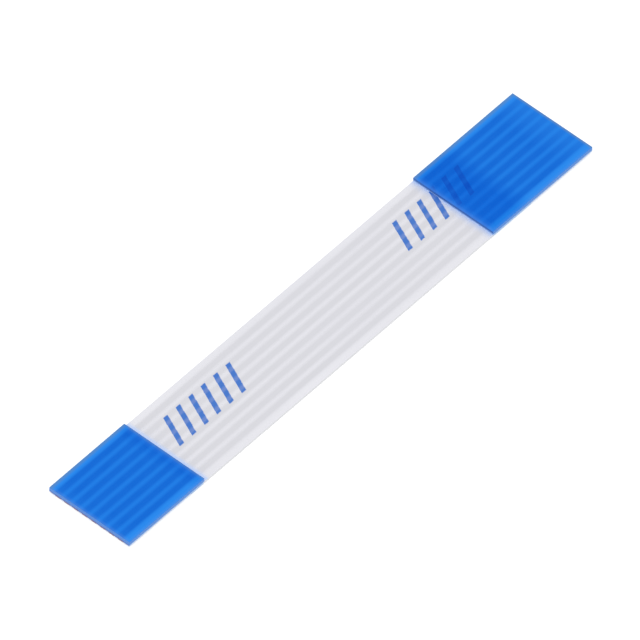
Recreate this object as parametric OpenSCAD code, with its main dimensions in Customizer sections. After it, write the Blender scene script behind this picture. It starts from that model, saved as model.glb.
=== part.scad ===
// Flat flex cable: a row of flat conductors laminated between two insulating films.
// A stiffener tape backs each end, and under it the lower film is left off, so that the contacts are bare.
// Millimetres. X runs along the cable, Y across it, and Z is up, with the contacts facing down.
// The origin is in the middle of the face that the cable lies on.

/* [Conductors] */
// Number of conductors side by side
conductor_count = 8; // [4:1:12]
// Distance between the centre lines of neighbouring conductors
pitch = 0.5; // [0.5:0.05:1.25]
// Width of a flat conductor
conductor_w = 0.3; // [0.2:0.01:0.4]
// Thickness of a flat conductor, with its tin plating
conductor_t = 0.05; // [0.03:0.005:0.1]

/* [Insulation] */
// Length of the cable over both ends
cable_len = 30; // [20:1:300]
// Thickness of one insulating film, with its adhesive
film_t = 0.06; // [0.04:0.005:0.1]
// Length of bare contact at the near end
near_contact_len = 4; // [2:0.1:6]
// Length of bare contact at the far end
far_contact_len = 4; // [2:0.1:6]

/* [Stiffener tapes] */
// Thickness of a stiffener tape, with its adhesive, over the ribs of the film
stiffener_t = 0.19; // [0.1:0.01:0.3]
// How far the near tape laps past the bare contacts, over the full laminate
near_lap = 0.8; // [0.2:0.1:3]
// How far the far tape laps past the bare contacts, over the full laminate
far_lap = 2.5; // [0.2:0.1:3]

/* [Hidden] */
// Flats that make up the film's slope beside a conductor
slope_steps = 6;
// Flats that make up a quarter of a conductor's rolled edge
edge_steps = 3;
// The film covers half a pitch more than the conductors' own pitches on each side
cable_w = (conductor_count + 1) * pitch;
// The films meet halfway up the conductors, and each rises by half a conductor to pass over them
rise = conductor_t / 2;
// The film comes down to its own thickness halfway between two conductors
slope_w = (pitch - conductor_w) / 2;
// Height of the plane where the films meet, with the ribs of the lower film at z = 0
parting_z = film_t + rise;
// Height of the tapes' flat faces over that plane
tape_top = rise + film_t + stiffener_t;
// The two ends of the cable, and the ends of its lower film and tapes
near_x = -cable_len / 2;
far_x = cable_len / 2;
near_strip_x = near_x + near_contact_len;
far_strip_x = far_x - far_contact_len;

// Centre line of conductor i, counted from the +Y edge
function conductor_y(i) = ((conductor_count + 1) / 2 - i) * pitch;

// All sections are drawn looking along X: [across the cable, height over the parting plane].

// Upper half of conductor i's outline, from +Y to -Y: a flat with two rolled edges
function conductor_half(i) = [
    for (side = [1, -1], k = [0 : edge_steps])
        let (a = 90 * (side > 0 ? k : edge_steps - k) / edge_steps)
        [conductor_y(i) + side * (conductor_w / 2 - rise + rise * cos(a)), rise * sin(a)]
];

// Rise of the film at a share u of the way down the slope beside a conductor: half a cosine wave
function slope(u) = rise * (1 + cos(180 * u)) / 2;

// Outer face of a film, from +Y to -Y: a flat rib over each conductor, a hollow between each two,
// and a level margin along each edge
function film_face() = [
    [cable_w / 2, film_t],
    for (i = [1 : conductor_count], side = [1, -1])
        let (edge = conductor_y(i) + side * conductor_w / 2)
        for (k = [0 : slope_steps - (side < 0 && i < conductor_count ? 1 : 0)])
            let (u = (side > 0 ? slope_steps - k : k) / slope_steps)
            [edge + side * slope_w * u, film_t + slope(u)],
    [-cable_w / 2, film_t]
];

// Inner face of a film, from -Y to +Y: the parting plane with a pocket for half of each conductor
function film_inside() = [
    [-cable_w / 2, 0],
    for (i = [conductor_count : -1 : 1], p = reverse(conductor_half(i))) p,
    [cable_w / 2, 0]
];

function reverse(list) = [for (k = [len(list) - 1 : -1 : 0]) list[k]];

// Section of a film over the parting plane
module film_section() {
    polygon(concat(film_face(), film_inside()));
}

// Carries a section along the cable from x0 to x1
module run(x0, x1) {
    translate([x0, 0, parting_z]) rotate([90, 0, 90]) linear_extrude(x1 - x0) children();
}

// Upper film, over the whole length
module upper_film() {
    color([0.90, 0.90, 0.93]) run(near_x, far_x) film_section();
}

// Lower film, cut back at both ends to bare the contacts
module lower_film() {
    color([0.90, 0.90, 0.93]) run(near_strip_x, far_strip_x) mirror([0, 1]) film_section();
}

// Flat conductor i, over the whole length
module conductor(i) {
    half = conductor_half(i);
    color([0.78, 0.78, 0.76]) run(near_x, far_x)
        polygon(concat(half, [for (p = reverse(half)) if (p.y > 0) [p.x, -p.y]]));
}

// Stiffener tape from x0 to x1: its adhesive fills the hollows of the film, and its outer face is flat
module stiffener(x0, x1) {
    color([0.15, 0.47, 0.88]) run(x0, x1)
        polygon(concat(film_face(), [[-cable_w / 2, tape_top], [cable_w / 2, tape_top]]));
}

// Tape over the near end
module stiffener_near() {
    stiffener(near_x, near_strip_x + near_lap);
}

// Tape over the far end
module stiffener_far() {
    stiffener(far_strip_x - far_lap, far_x);
}

upper_film();
lower_film();
stiffener_near();
stiffener_far();
for (i = [1 : conductor_count]) conductor(i);
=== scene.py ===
import math

import bpy
import numpy as np
from mathutils import Matrix, Vector


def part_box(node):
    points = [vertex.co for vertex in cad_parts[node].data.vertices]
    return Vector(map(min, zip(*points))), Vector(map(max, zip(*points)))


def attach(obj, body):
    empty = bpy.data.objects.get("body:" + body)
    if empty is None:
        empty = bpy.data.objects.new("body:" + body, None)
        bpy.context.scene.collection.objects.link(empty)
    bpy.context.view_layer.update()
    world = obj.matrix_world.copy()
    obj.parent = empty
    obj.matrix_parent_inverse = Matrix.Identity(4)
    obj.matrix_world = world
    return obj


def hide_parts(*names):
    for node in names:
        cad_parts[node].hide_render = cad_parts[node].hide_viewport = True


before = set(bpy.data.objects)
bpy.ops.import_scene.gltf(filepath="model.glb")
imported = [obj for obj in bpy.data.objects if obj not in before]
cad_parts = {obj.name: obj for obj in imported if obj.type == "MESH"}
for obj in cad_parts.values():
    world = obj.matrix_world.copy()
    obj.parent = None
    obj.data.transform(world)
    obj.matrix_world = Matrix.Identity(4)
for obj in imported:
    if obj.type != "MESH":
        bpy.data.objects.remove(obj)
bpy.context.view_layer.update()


# ---- Camera ----
# A long lens looks down on the cable from beyond its near end, over its right edge, and is rolled a little.
# Here and below, lengths are in metres, near is -X and far is +X, and left is +Y and right is -Y.

view_azimuth = math.radians(-51.35)  # 0 looks along +Y
view_elevation = math.radians(49.37)
view_roll = math.radians(3.05)
view_distance = 1.2
view_width = 0.02717  # what the camera takes in from side to side, at the aim
aim_right, aim_up = -0.00009, 0.00006  # the aim's place from the origin, as the camera sees it
sensor_width = 0.036


def view_axes(azimuth, elevation, roll):
    """Right, up and backward directions of a camera that looks at the origin: a turn about Z, then a tilt, then a
    roll about the line of sight."""
    back = Vector((
        math.sin(azimuth) * math.cos(elevation),
        -math.cos(azimuth) * math.cos(elevation),
        math.sin(elevation),
    ))
    level = Vector((math.cos(azimuth), math.sin(azimuth), 0))
    upright = back.cross(level)
    right = level * math.cos(roll) + upright * math.sin(roll)
    return right, back.cross(right), back


view_right, view_up, view_back = view_axes(view_azimuth, view_elevation, view_roll)
lens = bpy.data.cameras.new("camera")
lens.sensor_width = sensor_width * 1000  # this and the next are in millimetres
lens.lens = sensor_width * 1000 * view_distance / view_width
lens.clip_start, lens.clip_end = 0.1, 10
lens.dof.use_dof = False
camera = bpy.data.objects.new("camera", lens)
bpy.context.scene.collection.objects.link(camera)
aim = view_right * aim_right + view_up * aim_up
turned = Matrix((view_right, view_up, view_back)).transposed().to_4x4()
camera.matrix_world = Matrix.Translation(aim + view_back * view_distance) @ turned
bpy.context.scene.camera = camera


# ---- Upper film ----
# White polyester film with a layer of hot-melt adhesive. It is rolled hot onto the row of conductors, so that it
# stands in a low rib over each and sinks between them, and it runs the whole length. Its print is blue ink.

wires = sorted(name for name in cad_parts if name.startswith("conductor_"))
wire_boxes = np.array([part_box(name) for name in wires])  # wire, low or high corner, axis
wire_y = wire_boxes[:, :, 1].mean(axis=1)
pitch = float(np.diff(np.sort(wire_y)).mean())
wire_w = float(wire_boxes[0, 1, 1] - wire_boxes[0, 0, 1])
rise = float(wire_boxes[0, 1, 2] - wire_boxes[0, 0, 2]) / 2  # half a conductor goes into each film
meeting_z = float(wire_boxes[0, :, 2].mean())
half_len, half_w, film_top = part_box("upper_film")[1]
film_t = film_top - meeting_z - rise
margin_w = half_w - (len(wires) - 1) / 2 * pitch - wire_w / 2  # of film beside the outermost conductor
slope_w = (pitch - wire_w) / 2
near_tape_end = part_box("stiffener_near")[1].x
far_tape_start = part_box("stiffener_far")[0].x
rolled_edge_steps = 3  # flats in a quarter of a conductor's rolled edge, as the conductors have
round_stations = 5  # over a rounded edge
slope_stations = 9  # down a slope of the film
margin_stations = 5  # over the film beside the outermost conductor


def rib(y):
    """1 over a conductor, falling as half a cosine wave to 0 halfway to the next one."""
    off_wire = np.abs(y[..., None] - wire_y).min(axis=-1) - wire_w / 2
    return (1 + np.cos(np.pi * np.clip(off_wire / slope_w, 0, 1))) / 2


def pocket(y):
    """Height of the upper half of a conductor's outline over its middle plane: a flat between two quarter circles,
    and 0 beside the conductors."""
    off_flat = np.abs(y[..., None] - wire_y).min(axis=-1) - (wire_w / 2 - rise)
    return rise * np.sqrt(1 - np.clip(off_flat / rise, 0, 1) ** 2)


def rounding(distance, radius):
    """How far a rounded edge has dropped at a distance inside it: the sagitta of a quarter circle."""
    inside = np.clip(distance / radius, 0, 1)
    return radius * (1 - np.sqrt(1 - (1 - inside) ** 2))


def edge_stations(low, high, radius, inner):
    """Stations from low to high: the inner ones, and a few that follow a rounded edge at both ends."""
    turn = radius * (1 - np.cos(np.linspace(0, np.pi / 2, round_stations)))
    clear = radius * 1.01  # leaves out a station that would coincide with the last one of the edge
    inner = inner[(inner > low + clear) & (inner < high - clear)]
    return np.concatenate([low + turn, inner, (high - turn)[::-1]])


def across_stations(radius):
    """Stations across the cable: the corners of every conductor's outline, and a fine row down each slope."""
    corner = wire_w / 2 - rise + rise * np.cos(np.linspace(0, np.pi / 2, rolled_edge_steps + 1))
    slope = wire_w / 2 + slope_w * np.linspace(0, 1, slope_stations)
    beside = np.concatenate([[0], corner, slope])
    inner = (wire_y[:, None] + np.concatenate([-beside, beside])).ravel()
    margin = half_w - (margin_w - slope_w) * np.linspace(0, 1, margin_stations)
    inner = np.unique(np.round(np.concatenate([inner, -margin, margin]), 9))
    return edge_stations(-half_w, half_w, radius, inner)


def slab(name, xs, ys, top, bottom, materials):
    """A closed sheet between two faces, each a height over the grid of stations xs by ys, with upright walls round
    its four edges. materials are those of the faces, the two long walls, the near wall and the far wall."""
    x, y = np.meshgrid(xs, ys, indexing="ij")
    heights = np.stack([top(x, y), bottom(x, y)])
    points = np.stack([np.stack([x, x]), np.stack([y, y]), heights], axis=-1).reshape(-1, 3)
    upper, lower = np.arange(len(points)).reshape(2, len(xs), len(ys))

    def strip(first, second):
        """The quads of a wall between two rows of points."""
        return np.stack([first[:-1], first[1:], second[1:], second[:-1]], axis=-1)

    over = np.stack([upper[:-1, :-1], upper[1:, :-1], upper[1:, 1:], upper[:-1, 1:]], axis=-1).reshape(-1, 4)
    under = (over + lower[0, 0])[:, ::-1]
    long_walls = np.concatenate([strip(lower[:, 0], upper[:, 0]), strip(upper[:, -1], lower[:, -1])])
    groups = [over, under, long_walls, strip(upper[0], lower[0]), strip(lower[-1], upper[-1])]
    mesh = bpy.data.meshes.new(name)
    mesh.from_pydata(points.tolist(), [], np.concatenate(groups).tolist())
    slots = np.repeat([0, 0, 1, 2, 3], [len(group) for group in groups])
    mesh.polygons.foreach_set("material_index", slots.astype(np.int32))
    mesh.polygons.foreach_set("use_smooth", slots == 0)
    for material in materials:
        mesh.materials.append(material)
    mesh.update()
    piece = bpy.data.objects.new(name, mesh)
    bpy.context.scene.collection.objects.link(piece)
    return piece


def srgb(red, green, blue):
    """A colour as light, from its three display values of 0 to 255."""
    shown = np.array([red, green, blue]) / 255
    light = np.where(shown <= 0.04045, shown / 12.92, ((shown + 0.055) / 1.055) ** 2.4)
    return (*map(float, light), 1.0)


class Socket:
    """A shader socket in a Python expression. Each operator adds one Math node."""

    def __init__(self, shader, socket):
        self.shader, self.socket = shader, socket

    def math(self, operation, *others):
        return self.shader.node("Math", {"operation": operation}, dict(enumerate([self, *others])))

    def __add__(self, other):
        return self.math("ADD", other)

    def __sub__(self, other):
        return self.math("SUBTRACT", other)

    def __rsub__(self, other):
        return self.shader.node("Math", {"operation": "SUBTRACT"}, {0: other, 1: self})

    def __mul__(self, other):
        return self.math("MULTIPLY", other)

    def __abs__(self):
        return self.math("ABSOLUTE")

    __radd__ = __add__
    __rmul__ = __mul__

    def ramp(self, zero, one):
        """0 where this is zero, 1 where it is one, straight between them and level beyond them."""
        return self.shader.node("MapRange", {}, {"Value": self, "From Min": zero, "From Max": one})

    def below(self, edge, soft):
        """1 below the edge and 0 above it, over a step of that softness."""
        return self.ramp(edge + soft / 2, edge - soft / 2)

    def larger(self, other):
        return self.math("MAXIMUM", other)


class Shader:
    def __init__(self, owner):
        self.owner = owner
        owner.use_nodes = True
        self.nodes, self.links = owner.node_tree.nodes, owner.node_tree.links
        self.surface = next(n for n in self.nodes if n.type in ("BSDF_PRINCIPLED", "BACKGROUND"))

    def feed(self, node, inputs):
        for key, value in inputs.items():
            if isinstance(value, Socket):
                self.links.new(value.socket, node.inputs[key])
            else:
                node.inputs[key].default_value = value

    def node(self, kind, settings, inputs, output=0):
        """Adds a node of a kind, with its settings and inputs, and returns one of its outputs."""
        node = self.nodes.new("ShaderNode" + kind)
        for key, value in settings.items():
            setattr(node, key, value)
        self.feed(node, inputs)
        return Socket(self, node.outputs[output])

    def place(self, axes):
        """The surface's place in the cable's frame, as one vector and along each of the axes."""
        where = self.node("TexCoord", {}, {}, "Object")
        return where, *(self.node("SeparateXYZ", {}, {0: where}, axis) for axis in axes)

    def mix(self, share, first, second):
        """The first colour, turning into the second with the share."""
        return self.node("Mix", {"data_type": "RGBA"}, {0: share, 6: first, 7: second}, 2)

    def noise(self, where, scale, stretch=(1, 1, 1), detail=3):
        """A noise from 0 to 1 with about scale patches in a metre, drawn out along the axes by stretch."""
        drawn = self.node("VectorMath", {"operation": "DIVIDE"}, {0: where, 1: stretch})
        return self.node("TexNoise", {}, {"Vector": drawn, "Scale": scale, "Detail": detail})

    def bump(self, height, depth):
        """The normal of a surface whose relief is height, 0 to 1, times a depth in metres."""
        return self.node("Bump", {}, {"Height": height, "Distance": depth, "Strength": 1.0})

    def finish(self, **values):
        """Sets the surface's sockets, whose names are given with _ for each space."""
        self.feed(self.surface, {key.replace("_", " "): value for key, value in values.items()})
        return self.owner


def wire_share(y, soft):
    """1 over a conductor and 0 between and beside them, with soft edges. The number of conductors is even, so
    that the middle of each is half a pitch past a whole number of pitches."""
    off_middle = abs((y * (1 / pitch)).math("FRACT") - 0.5) * pitch
    return off_middle.below(wire_w / 2, soft) * abs(y).below(half_w - margin_w + slope_w, soft)


# The print: two rows of slanted strokes, one near each end, nearer to the left edge than to the right one.
stroke_w, stroke_h, stroke_step, stroke_slant = 0.00028, 0.00155, 0.0008, 0.45
print_rows_x = (-0.0091, 0.0057)  # where each row starts
print_row_len = 0.0045
print_y = 0.00055
stroke_soft, stroke_ragged = 0.00004, 0.00006  # of a stroke's edge: its softness, and how far it strays
rag_scale = 9000  # of the straying, in patches in a metre, as all the scales below
row_end_soft = 0.00001
hollow_ink, hollow_soft = 0.88, 0.0001  # the ink's share in a hollow of the film, and the hollow's soft edge


def ink_share(shader, where, x, y):
    """1 on a printed stroke, a little ragged at its edges, and less where the ink skips the hollows."""
    ragged = (shader.noise(where, rag_scale, detail=2) - 0.5) * stroke_ragged
    up = y - print_y

    def row(start):
        """1 on the strokes of the row that starts there: slanted bands that come back at every step."""
        along = x - start - up * stroke_slant
        off_stroke = abs((along * (1 / stroke_step)).math("FRACT") - stroke_w / stroke_step / 2) * stroke_step
        in_row = abs(along - print_row_len / 2).below(print_row_len / 2, row_end_soft)
        return (off_stroke + ragged).below(stroke_w / 2, stroke_soft) * in_row

    inside = abs(up + ragged).below(stroke_h / 2, stroke_soft)
    inked = hollow_ink + (1 - hollow_ink) * wire_share(y, hollow_soft)
    return sum(map(row, print_rows_x)) * inside * inked


gap_white, wire_white, margin_white = srgb(233, 233, 239), srgb(218, 218, 224), srgb(236, 236, 242)
cloud_white = srgb(222, 222, 229)
# The next colour is painted light that the blue tapes cast on the white film.
painted_tape_light_blue = srgb(204, 222, 255)
ink_blue = srgb(52, 114, 204)
film_blur = 0.00012  # of a conductor's edge, seen through the film
cloud_scale, film_grain_scale, film_wave_scale = 700, 22000, 2500
film_grain_depth = 0.0000012
cast_near, cast_far = (0.0004, 0.00019), (0.00045, 0)  # off each tape, where its painted light on the film's upper face, and its colour seen through from below, ends and is full
sharp = 0.000001  # a step that looks sharp


def film_material(name, behind, printed=False):
    """White film: greyer over the conductors than between them, clearest along its edges, bluish with painted
    light that the tapes cast on it, and with a fine grain drawn out along the cable. From below, a tape shows
    through as the colour behind, and less so where a conductor hides it."""
    shader = Shader(bpy.data.materials.new(name))
    where, x, y, z = shader.place("XYZ")
    in_margin = abs(y).ramp(half_w - margin_w, half_w - margin_w / 2)
    cloudy = shader.noise(where, cloud_scale, (6, 1, 1)) - 0.5
    over_wire = wire_share(y, film_blur)
    base = shader.mix(over_wire, gap_white, wire_white)
    base = shader.mix(in_margin, base, margin_white)
    base = shader.mix(0.2 + cloudy, base, cloud_white)
    # Near and under the tapes: painted light from the tapes on the upper face, and the tapes' colour seen through
    # on the lower face.
    cast = (x - near_tape_end).ramp(*cast_near) + (far_tape_start - x).ramp(*cast_far)
    under = z.below(meeting_z + (rise + film_t) / 2, sharp)
    tint = shader.mix(under, painted_tape_light_blue, behind)
    base = shader.mix(cast * cast * (1 - 0.7 * under * over_wire), base, tint)
    if printed:
        base = shader.mix(ink_share(shader, where, x, y), base, ink_blue)
    grain = shader.noise(where, film_grain_scale, (5, 1, 1)) + 0.7 * shader.noise(where, film_wave_scale, (8, 1, 1))
    return shader.finish(
        Base_Color=base, Roughness=0.42 + 0.14 * cloudy, Normal=shader.bump(grain, film_grain_depth), IOR=1.5
    )


streak_scale = 24000
tint_soft = 0.0001  # of the change of colour at a tape's end
film_light_h = 0.00005  # of the painted light that the white film throws on the lowest part of a tape's inner cut end


def cut_material(name, dark, light, painted_tape_light=None, painted_film_light=None):
    """A cut edge of film or tape, with the fine upright streaks that the blade leaves. Under the tapes it may take
    another colour, painted light from them, and its lowest part may take painted light thrown up from the film."""
    shader = Shader(bpy.data.materials.new(name))
    where, x, z = shader.place("XZ")
    streaks = shader.noise(where, streak_scale, (1, 1, 6))
    base = shader.mix(streaks, dark, light)
    if painted_tape_light:
        # Under the tapes the cut edge takes painted light from them.
        under_near = x.ramp(near_tape_end, near_tape_end - tint_soft)
        under_far = x.ramp(far_tape_start, far_tape_start + tint_soft)
        base = shader.mix(under_near + under_far, base, painted_tape_light)
    # Painted light thrown up from the white film, on the lowest part of the wall.
    if painted_film_light:
        base = shader.mix(z.below(film_top + film_light_h, film_light_h), base, painted_film_light)
    return shader.finish(Base_Color=base, Roughness=0.5 + 0.15 * streaks, IOR=1.5, Specular_IOR_Level=0.3)


# The film's long cut edges, bluish under the tapes with painted light from them.
film_side = cut_material("film_side", srgb(236, 236, 239), srgb(246, 246, 248), painted_tape_light=srgb(182, 212, 246))
# The film's cut ends: white film painted dark blue-grey, as painted shade under the blue tapes.
film_end_painted_shade = cut_material("film_end_painted_shade", srgb(100, 120, 182), srgb(118, 134, 196))
film_round = 0.000008  # the radius along a film's two long edges
film_stations, lower_film_stations = 61, 45  # along the upper and the lower film
film_ys = across_stations(film_round)


def upper_top(x, y):
    """The upper film's outer face: its own thickness and the ribs, over the plane where the films meet."""
    return meeting_z + film_t + rise * rib(y) - rounding(half_w - np.abs(y), film_round)


upper_film = slab(
    "film_upper", np.linspace(-half_len, half_len, film_stations), film_ys,
    upper_top,
    lambda x, y: meeting_z + pocket(y),  # it takes in the upper half of each conductor
    [film_material("film_printed", behind=srgb(146, 186, 240), printed=True), film_side, film_end_painted_shade, film_end_painted_shade],
)
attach(upper_film, "root")
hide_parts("upper_film")


# ---- Lower film ----
# The same film from below, its own thickness and ribs turned over. It is cut to a window at each end before it is
# laminated, and that leaves the contacts bare there.

lower_low, lower_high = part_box("lower_film")
lower_film = slab(
    "film_lower", np.linspace(lower_low.x, lower_high.x, lower_film_stations), film_ys,
    lambda x, y: meeting_z - pocket(y),  # it takes in the lower halves
    lambda x, y: meeting_z - film_t - rise * rib(y) + rounding(half_w - np.abs(y), film_round),
    [film_material("film_plain", behind=srgb(184, 206, 244)), film_side, film_side, film_side],
)
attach(lower_film, "root")
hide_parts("lower_film")


# ---- Conductors ----
# Flat copper wires with rolled edges, tinned before they are laid between the films. They are cut off together
# with the films, so that their ends show the bare copper.

tin_dark, tin_light = srgb(196, 197, 196), srgb(222, 222, 220)
# The cut ends' copper, darker and more violet than bare copper: painted shade.
shaded_copper_ends = srgb(134, 106, 130)
cut_skin = 0.000002  # how deep the copper's colour goes behind a cut end
drawn_scale = 40000
drawn_depth = 0.0000008  # of the drawing lines


def wire_material():
    """Satin tin with faint drawing lines along the wire, and copper darkened with painted shade on the two cut
    ends.
    """
    shader = Shader(bpy.data.materials.new("tinned_copper"))
    where, x = shader.place("X")
    lines = shader.noise(where, drawn_scale, (40, 1, 1))
    tin = shader.mix(lines, tin_dark, tin_light)
    cut = abs(x).ramp(half_len - cut_skin, half_len - cut_skin / 2)
    return shader.finish(
        Base_Color=shader.mix(cut, tin, shaded_copper_ends),
        Metallic=1.0,
        Roughness=0.3 + 0.12 * lines + 0.15 * cut,
        Normal=shader.bump(lines, drawn_depth),
    )


tinned_copper = wire_material()
for name in wires:
    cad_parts[name].material_slots[0].material = tinned_copper


# ---- Stiffener tapes ----
# A strip of thick blue polyester tape is stuck over each end of the upper film. Its adhesive fills the hollows, so
# that its outer face is flat, and the conductors and the print show through it as darker blue.

tape_round = 0.000025  # the radius along a tape's four edges
tape_stations = 31  # along a tape
one_film_blues = srgb(28, 126, 232), srgb(13, 107, 217), srgb(41, 141, 242)  # over gaps, conductors and margins
two_film_blues = srgb(10, 108, 222), srgb(0, 97, 212), srgb(24, 128, 234)
seen_ink_blue = srgb(0, 56, 178)
mottle_blue = srgb(30, 124, 232)
# The last colour here is painted light along the tapes' right and near rims, and the grey below is painted shade
# along their left and far rims.
outer_pale_blue, inner_pale_blue, painted_rim_light_blue = srgb(44, 142, 242), srgb(60, 140, 238), srgb(104, 154, 230)
painted_rim_shade_grey = srgb(104, 142, 180)
waver_scale, mottle_scale, speck_scale, tape_grain_scale = 1500, 2600, 11000, 12000
tape_blur = 0.00013  # of a conductor's edge, seen through the tape and the film
tape_waver = 0.00005  # how far that edge strays
tape_grain_depth = 0.000001
margin_lap = 0.00003  # of the margin's colour over the outermost conductor
lap_soft = 0.0008  # of the change of colour where the lower film begins
glow_w = 0.00035  # of the paler strip along a tape's inner end
rim_w = 0.00016  # of the painted light and shade along a cut edge's rim
left_shade_start, left_shade_full = 0.00022, 0.00006  # from the left edge, of the painted shade along the rim there


def tape_material(name, low, high, pale_share, pale_len, far_rim_shade):
    """Blue tape, seen through to the conductors, the print and the end of the lower film below it. It is paler
    towards its ends, paler with painted light along its right and near edges, and greyer with painted shade
    along its left and far edges."""
    shader = Shader(bpy.data.materials.new(name))
    where, x, y = shader.place("XY")
    waver = (shader.noise(where, waver_scale, (3, 1, 1)) - 0.5) * tape_waver
    mottled = shader.noise(where, mottle_scale, (2, 1, 1)) - 0.5
    specked = shader.noise(where, speck_scale) - 0.5
    over_wire = wire_share(y + waver, tape_blur)
    in_margin = abs(y).ramp(half_w - margin_w - margin_lap, half_w - margin_w + tape_blur)

    def striped(gap, wire, margin):
        """The colours over the gaps, the conductors and the margins, put together."""
        return shader.mix(in_margin, shader.mix(over_wire, gap, wire), margin)

    over_one_film = striped(*one_film_blues)
    over_two_films = striped(*two_film_blues)
    base = shader.mix(abs(x).below(lower_high.x - lap_soft / 2, lap_soft), over_one_film, over_two_films)
    base = shader.mix(0.5 * ink_share(shader, where, x, y), base, seen_ink_blue)
    base = shader.mix(0.1 + 0.4 * mottled + 0.2 * specked, base, mottle_blue)
    base = shader.mix(pale_share * abs(x).ramp(half_len - pale_len, half_len), base, outer_pale_blue)
    inner_end = min(abs(low.x), abs(high.x))
    base = shader.mix(0.35 * abs(x).ramp(inner_end + glow_w, inner_end), base, inner_pale_blue)
    # Painted light on the right and near rims, and painted shade on the left and far rims.
    rim_lit = (0 - y).ramp(half_w - rim_w, half_w).larger(x.ramp(low.x + rim_w, low.x))
    base = shader.mix(0.25 * rim_lit, base, painted_rim_light_blue)
    left = 0.65 * y.ramp(half_w - left_shade_start, half_w - left_shade_full)
    far = far_rim_shade * x.ramp(high.x - rim_w, high.x - rim_w / 4)
    base = shader.mix(left.larger(far), base, painted_rim_shade_grey)
    grain = shader.noise(where, tape_grain_scale, (2, 1, 1))
    return shader.finish(
        Base_Color=base, Roughness=0.36 + 0.12 * mottled, Normal=shader.bump(grain, tape_grain_depth),
        IOR=1.5, Specular_IOR_Level=0.05,
    )


# The tapes' cut edges: the outer ones paler with painted light, and the inner ones darker with painted shade.
outer_cut_painted_light = cut_material("tape_outer_cut", srgb(82, 140, 222), srgb(106, 160, 236))
inner_cut_painted_shade = cut_material("tape_inner_cut", srgb(46, 100, 184), srgb(64, 116, 196), painted_film_light=srgb(150, 184, 232))
# How pale each tape turns towards its outer end and over what length, and how much painted shade its far rim takes
near_look = {"pale_share": 0.15, "pale_len": 0.0006, "far_rim_shade": 0.4}
far_look = {"pale_share": 0.4, "pale_len": 0.0016, "far_rim_shade": 0.7}
for name, node, end_cuts, look in (
    ("tape_near", "stiffener_near", [outer_cut_painted_light, inner_cut_painted_shade], near_look),
    ("tape_far", "stiffener_far", [inner_cut_painted_shade, outer_cut_painted_light], far_look),
):
    low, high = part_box(node)

    def tape_top(x, y):
        """The flat outer face, rounded along its four cut edges."""
        from_end = np.minimum(x - low.x, high.x - x)
        return high.z - rounding(from_end, tape_round) - rounding(half_w - np.abs(y), tape_round)

    inner_xs = np.linspace(low.x, high.x, tape_stations)
    tape = slab(
        name, edge_stations(low.x, high.x, tape_round, inner_xs), across_stations(tape_round),
        tape_top,
        lambda x, y: meeting_z + film_t + rise * rib(y),  # its adhesive follows the ribs
        [tape_material("blue_" + name, low, high, **look), outer_cut_painted_light, *end_cuts],
    )
    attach(tape, "root")
    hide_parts(node)


# ---- The cable as a whole ----
# The laminate is one short flat cable that lies free. Its far end is bare contacts, as its near end is, and what
# goes with its upper film is stuck to it along its length.


# ---- Floor, light and background ----
# A white table in a white room, under a large soft lamp. The room lights the cable from all sides, and the table
# keeps the cable's faint shadow.

room_light = 0.8  # the room's share of the light on a white surface, and the rest is the lamp's
lamp_distance, lamp_size = 0.5, 0.35
lamp_direction = Vector((-0.25, -0.1, 1)).normalized()
floor_gap = 0.000004  # keeps the table's face apart from the cable's
table_lift = 0.4  # the light that the table adds where it is seen by itself, so that it shows white


def grey(light):
    """A neutral colour, from its share of white's light."""
    return light, light, light, 1.0


def seen_directly(shader):
    """1 for what is seen by itself, in a mirror or through glass, and 0 for what only lights other things."""
    kinds = [shader.node("LightPath", {}, {}, f"Is {kind} Ray") for kind in ("Camera", "Glossy", "Transmission")]
    return kinds[0].larger(kinds[1]).larger(kinds[2])


def make_floor():
    """A round sheet: rings of points whose radius doubles, joined by quads, round a flat middle."""
    radii = 0.002 * 2.0 ** np.arange(12)  # from 2 mm to 4 m
    turns = np.linspace(0, 2 * np.pi, 48, endpoint=False)
    flat = (radii[:, None, None] * np.stack([np.cos(turns), np.sin(turns)], axis=-1)).reshape(-1, 2)
    points = np.column_stack([flat, np.full(len(flat), -floor_gap)])
    inner = np.arange(len(points)).reshape(len(radii), len(turns))
    ahead = np.roll(inner, -1, axis=1)
    rings = np.stack([inner[:-1], inner[1:], ahead[1:], ahead[:-1]], axis=-1).reshape(-1, 4)
    mesh = bpy.data.meshes.new("table")
    mesh.from_pydata(points.tolist(), [], [*rings.tolist(), inner[0].tolist()])
    shader = Shader(bpy.data.materials.new("white_table"))
    mesh.materials.append(shader.finish(
        Base_Color=srgb(240, 240, 241), Roughness=0.8, Specular_IOR_Level=0.0,
        Emission_Color=shader.mix(seen_directly(shader), grey(0), grey(table_lift)), Emission_Strength=1.0,
    ))
    floor = bpy.data.objects.new("table", mesh)
    bpy.context.scene.collection.objects.link(floor)
    return floor


make_floor()

soft_lamp = bpy.data.lights.new("soft_lamp", "AREA")
soft_lamp.shape, soft_lamp.size = "DISK", lamp_size
# A disk's power over pi and the distance, both squared, is the light that it gives a white surface in front of it
soft_lamp.energy = (1 - room_light) * (math.pi * lamp_distance) ** 2
lamp = bpy.data.objects.new("soft_lamp", soft_lamp)
lamp.location = lamp_direction * lamp_distance
lamp.rotation_euler = lamp_direction.to_track_quat("Z", "Y").to_euler()
bpy.context.scene.collection.objects.link(lamp)

room = Shader(bpy.data.worlds.new("white_room"))
bpy.context.scene.world = room.finish(
    Color=room.mix(seen_directly(room), grey(room_light), grey(1)), Strength=1.0
)
bpy.context.scene.view_settings.view_transform = "Standard"
